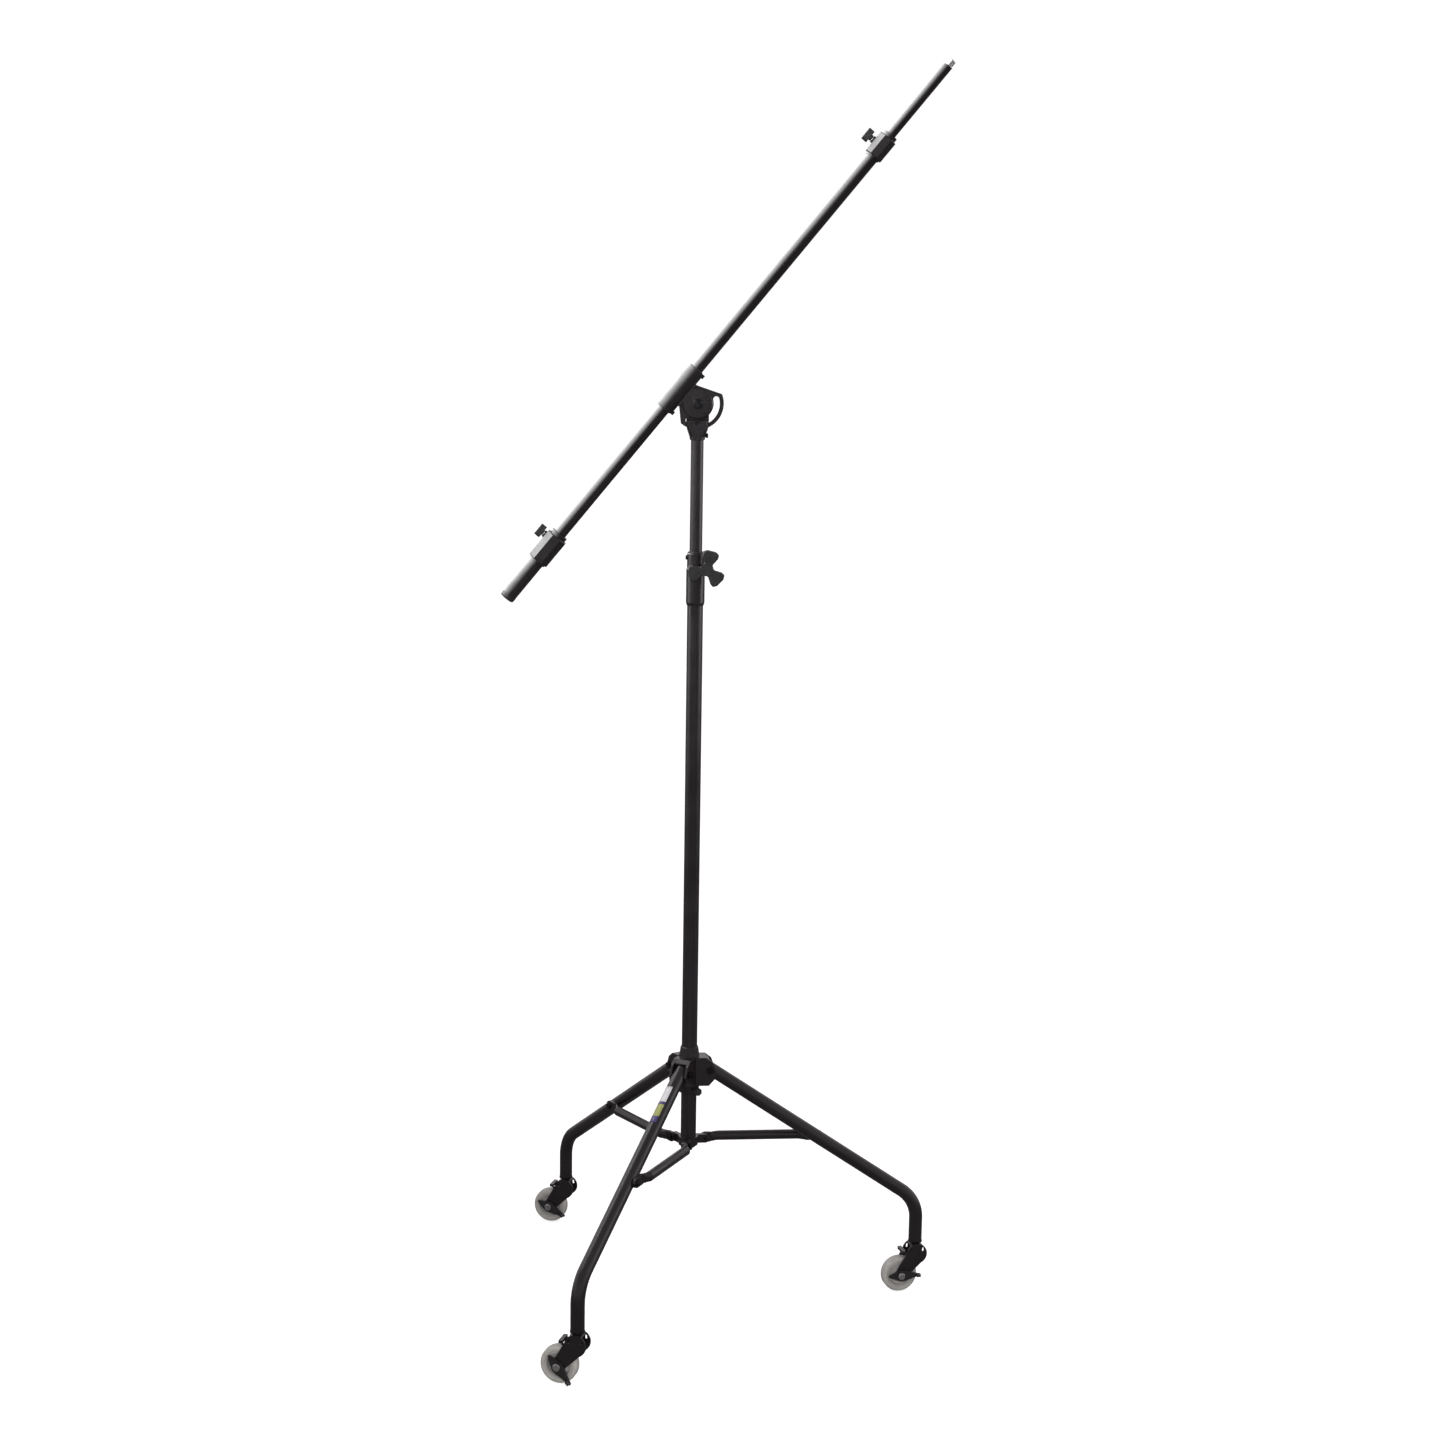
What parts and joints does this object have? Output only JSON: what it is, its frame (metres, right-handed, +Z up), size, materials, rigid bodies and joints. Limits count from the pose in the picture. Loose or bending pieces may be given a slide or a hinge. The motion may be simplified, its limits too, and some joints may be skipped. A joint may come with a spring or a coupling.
{
  "type": "boom microphone stand",
  "caption": "Tall black tripod stand on swivel casters with a height clutch, a tilting sliding boom, a counterweight and a threaded tip for a microphone.",
  "frame": {"origin": "on the floor, under the axis of the column", "axes": "+Z up along the column, +X the way the microphone end of the boom points, +Y away from the side with the clutch knob"},
  "size_m": [0.8959, 0.8924, 2.5241],
  "materials": {
    "black_paint": "satin black powder coat",
    "boom_paint": "gloss black enamel",
    "black_plastic": "moulded black",
    "zinc": "zinc-plated steel",
    "bright_thread": "bright plated",
    "black_oxide": "black oxide fasteners",
    "grey_tread": "non-marking grey rubber",
    "grey_core": "pale grey moulded nylon",
    "nylon": "natural nylon"
  },
  "bodies": {
    "column": {"column_tube": "black_paint", "column_plug": "black_plastic", "lower_bracket": "black_paint", "bracket_bolts": "black_oxide", "clutch_housing": "black_paint", "clutch_bush": "nylon", "clutch_fasteners": "black_oxide"},
    "clutch_knob": {"clutch_knob": "black_plastic", "clutch_bolt": "black_oxide"},
    "hub": {"hub_collar": "black_paint", "leg_pivot_bolts": "black_oxide"},
    "hub_lock": {"hub_lock_screw": "black_plastic"},
    "leg_1": {"leg_tube_1": "black_paint", "caster_stem_1": "black_oxide"},
    "brace_1": {"brace_1": "black_paint", "brace_bolt_1": "black_oxide"},
    "caster_1": {"caster_fork_1": "black_paint", "caster_axle_1": "zinc"},
    "wheel_1": {"caster_wheel_1": "grey_core", "caster_tyre_1": "grey_tread"},
    "pedal_1": {"brake_pedal_1": "black_plastic"},
    "leg_2": {"leg_tube_2": "black_paint", "caster_stem_2": "black_oxide"},
    "brace_2": {"brace_2": "black_paint", "brace_bolt_2": "black_oxide"},
    "caster_2": {"caster_fork_2": "black_paint", "caster_axle_2": "zinc"},
    "wheel_2": {"caster_wheel_2": "grey_core", "caster_tyre_2": "grey_tread"},
    "pedal_2": {"brake_pedal_2": "black_plastic"},
    "leg_3": {"leg_tube_3": "black_paint", "caster_stem_3": "black_oxide"},
    "brace_3": {"brace_3": "black_paint", "brace_bolt_3": "black_oxide"},
    "caster_3": {"caster_fork_3": "black_paint", "caster_axle_3": "zinc"},
    "wheel_3": {"caster_wheel_3": "grey_core", "caster_tyre_3": "grey_tread"},
    "pedal_3": {"brake_pedal_3": "black_plastic"},
    "upper": {"upper_tube": "boom_paint", "guide_bush": "nylon"},
    "head": {"neck_casting": "black_paint", "tilt_bolts": "black_oxide", "friction_washer": "nylon"},
    "swivel_lock": {"swivel_screw": "black_oxide"},
    "saddle": {"tilt_quadrant": "black_paint", "boom_saddle": "black_paint", "saddle_liner": "nylon"},
    "tilt_knob": {"tilt_knob": "black_plastic"},
    "boom": {"boom_tube": "boom_paint", "extension_collar": "black_paint", "extension_bush": "nylon"},
    "extension": {"extension_tube": "boom_paint", "tip_stud": "bright_thread"},
    "extension_knob": {"extension_knob": "black_plastic"},
    "weight": {"weight_collar": "black_paint", "counterweight": "black_paint", "weight_cap": "black_plastic"},
    "weight_knob": {"weight_knob": "black_plastic"}
  },
  "joints": [
    {"name": "hub_slide", "type": "slide", "parent": "column", "child": "hub", "axis": [0, 0, 1], "range_m": [0, 0.3287]},
    {"name": "hub_lock_turn", "type": "hinge", "parent": "hub", "child": "hub_lock", "pos_m": [0.01452, -0.02035, 0.4495], "axis": [0.5807, -0.8141, 0], "range_deg": [0, 180]},
    {"name": "clutch_knob_turn", "type": "hinge", "parent": "column", "child": "clutch_knob", "pos_m": [0.023, -0.02, 1.53], "axis": [0, -1, 0], "range_deg": [0, 180]},
    {"name": "leg_1_fold", "type": "hinge", "parent": "hub", "child": "leg_1", "pos_m": [0.04181, 0.00403, 0.49143], "axis": [-0.0958, 0.9954, 0], "range_deg": [0, 38.01]},
    {"name": "brace_1_fold", "type": "hinge", "parent": "column", "child": "brace_1", "pos_m": [0.03583, 0.00345, 0.337], "axis": [0.0958, -0.9954, 0], "range_deg": [0, 66.82]},
    {"name": "caster_1_swivel", "type": "hinge", "parent": "leg_1", "child": "caster_1", "pos_m": [0.48177, 0.04639, 0.095], "axis": [0, 0, 1], "continuous": true},
    {"name": "wheel_1_spin", "type": "hinge", "parent": "caster_1", "child": "wheel_1", "pos_m": [0.44796, 0.03733, 0.0375], "axis": [-0.2588, 0.9659, 0], "continuous": true},
    {"name": "pedal_1_press", "type": "hinge", "parent": "caster_1", "child": "pedal_1", "pos_m": [0.44796, 0.03733, 0.0375], "axis": [-0.2588, 0.9659, 0], "range_deg": [0, 50]},
    {"name": "leg_2_fold", "type": "hinge", "parent": "hub", "child": "leg_2", "pos_m": [-0.02439, 0.03419, 0.49143], "axis": [-0.8141, -0.5807, 0], "range_deg": [0, 38.01]},
    {"name": "brace_2_fold", "type": "hinge", "parent": "column", "child": "brace_2", "pos_m": [-0.0209, 0.02931, 0.337], "axis": [0.8141, 0.5807, 0], "range_deg": [0, 66.82]},
    {"name": "caster_2_swivel", "type": "hinge", "parent": "leg_2", "child": "caster_2", "pos_m": [-0.28106, 0.39403, 0.095], "axis": [0, 0, 1], "continuous": true},
    {"name": "wheel_2_spin", "type": "hinge", "parent": "caster_2", "child": "wheel_2", "pos_m": [-0.31487, 0.40309, 0.0375], "axis": [0.2588, 0.9659, 0], "continuous": true},
    {"name": "pedal_2_press", "type": "hinge", "parent": "caster_2", "child": "pedal_2", "pos_m": [-0.31487, 0.40309, 0.0375], "axis": [0.2588, 0.9659, 0], "range_deg": [-25, 25]},
    {"name": "leg_3_fold", "type": "hinge", "parent": "hub", "child": "leg_3", "pos_m": [-0.01742, -0.03822, 0.49143], "axis": [0.91, -0.4147, 0], "range_deg": [0, 38.01]},
    {"name": "brace_3_fold", "type": "hinge", "parent": "column", "child": "brace_3", "pos_m": [-0.01493, -0.03276, 0.337], "axis": [-0.91, 0.4147, 0], "range_deg": [0, 66.82]},
    {"name": "caster_3_swivel", "type": "hinge", "parent": "leg_3", "child": "caster_3", "pos_m": [-0.20071, -0.44042, 0.095], "axis": [0, 0, 1], "continuous": true},
    {"name": "wheel_3_spin", "type": "hinge", "parent": "caster_3", "child": "wheel_3", "pos_m": [-0.23452, -0.43136, 0.0375], "axis": [0.2588, 0.9659, 0], "continuous": true},
    {"name": "pedal_3_press", "type": "hinge", "parent": "caster_3", "child": "pedal_3", "pos_m": [-0.23452, -0.43136, 0.0375], "axis": [0.2588, 0.9659, 0], "range_deg": [-50, 0]},
    {"name": "mast_slide", "type": "slide", "parent": "column", "child": "upper", "axis": [0, 0, 1], "range_m": [-0.16, 0.6]},
    {"name": "head_swivel", "type": "hinge", "parent": "upper", "child": "head", "pos_m": [0, 0, 1.793], "axis": [0, 0, 1], "continuous": true},
    {"name": "swivel_screw_turn", "type": "hinge", "parent": "head", "child": "swivel_lock", "pos_m": [0.018, 0, 1.793], "axis": [1, 0, 0], "range_deg": [0, 180]},
    {"name": "boom_tilt", "type": "hinge", "parent": "head", "child": "saddle", "pos_m": [0, 0, 1.856], "axis": [0, -1, 0], "range_deg": [-100, 25]},
    {"name": "tilt_knob_turn", "type": "hinge", "parent": "head", "child": "tilt_knob", "pos_m": [0, 0.025, 1.856], "axis": [0, 1, 0], "range_deg": [0, 180]},
    {"name": "boom_slide", "type": "slide", "parent": "saddle", "child": "boom", "axis": [0.632, 0, 0.7749], "range_m": [-0.45, 0.22]},
    {"name": "extension_slide", "type": "slide", "parent": "boom", "child": "extension", "axis": [0.632, 0, 0.7749], "range_m": [-0.15, 0.33]},
    {"name": "extension_knob_turn", "type": "hinge", "parent": "boom", "child": "extension_knob", "pos_m": [0.3339, 0, 2.36825], "axis": [-0.7749, 0, 0.632], "range_deg": [0, 180]},
    {"name": "weight_slide", "type": "slide", "parent": "boom", "child": "weight", "axis": [0.632, 0, 0.7749], "range_m": [0, 0.05]},
    {"name": "weight_knob_turn", "type": "hinge", "parent": "weight", "child": "weight_knob", "pos_m": [-0.29939, 0, 1.59175], "axis": [-0.7749, 0, 0.632], "range_deg": [0, 180]}
  ],
  "couplings": [
    {"joint": "leg_1_fold", "follows": "hub_slide", "rad_per_m": 2.0177},
    {"joint": "brace_1_fold", "follows": "hub_slide", "rad_per_m": 3.5477},
    {"joint": "leg_2_fold", "follows": "hub_slide", "rad_per_m": 2.0177},
    {"joint": "brace_2_fold", "follows": "hub_slide", "rad_per_m": 3.5477},
    {"joint": "leg_3_fold", "follows": "hub_slide", "rad_per_m": 2.0177},
    {"joint": "brace_3_fold", "follows": "hub_slide", "rad_per_m": 3.5477}
  ]
}
